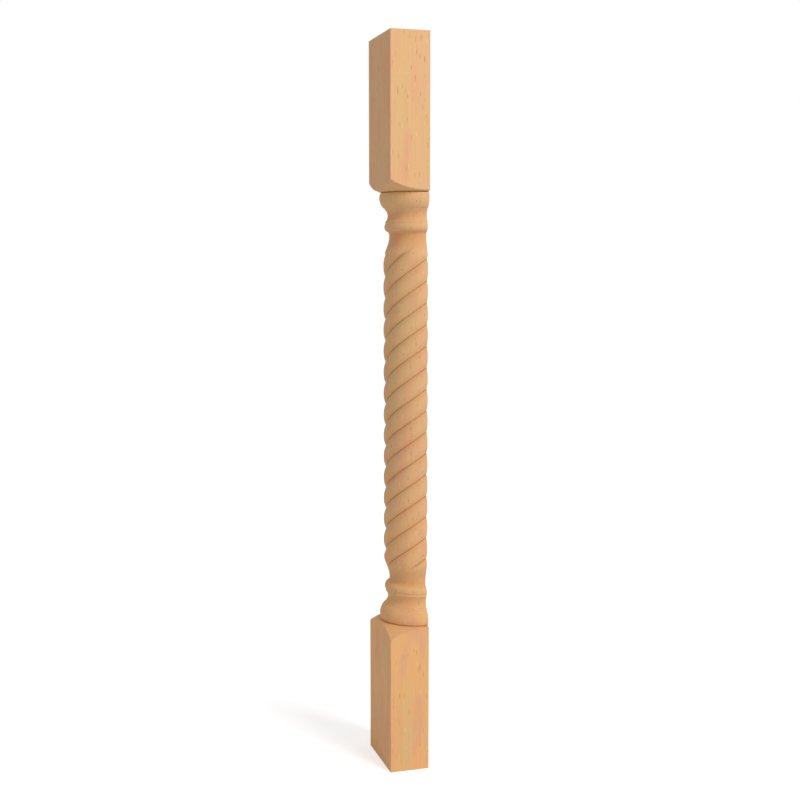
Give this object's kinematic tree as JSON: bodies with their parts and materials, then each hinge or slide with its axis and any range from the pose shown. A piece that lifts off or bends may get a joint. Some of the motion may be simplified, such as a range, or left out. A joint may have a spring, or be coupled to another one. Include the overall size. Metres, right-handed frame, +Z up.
{
  "type": "half newel post",
  "caption": "Half newel post: square blocks with turned mouldings and a rope-carved shaft, sawn flat at the back to stand against a wall.",
  "frame": {"origin": "centre of the overall box at the underside of the foot", "axes": "+Z up the post, +Y out of the flat sawn back, -Y out of the carved front, +X across the full width to the right-hand side face"},
  "size_m": [0.09, 0.0474, 0.867],
  "materials": {
    "beech": "unfinished sanded beech, fine straight grain with short dark flecks"
  },
  "bodies": {
    "root": {"half_newel_post": "beech"}
  },
  "joints": []
}
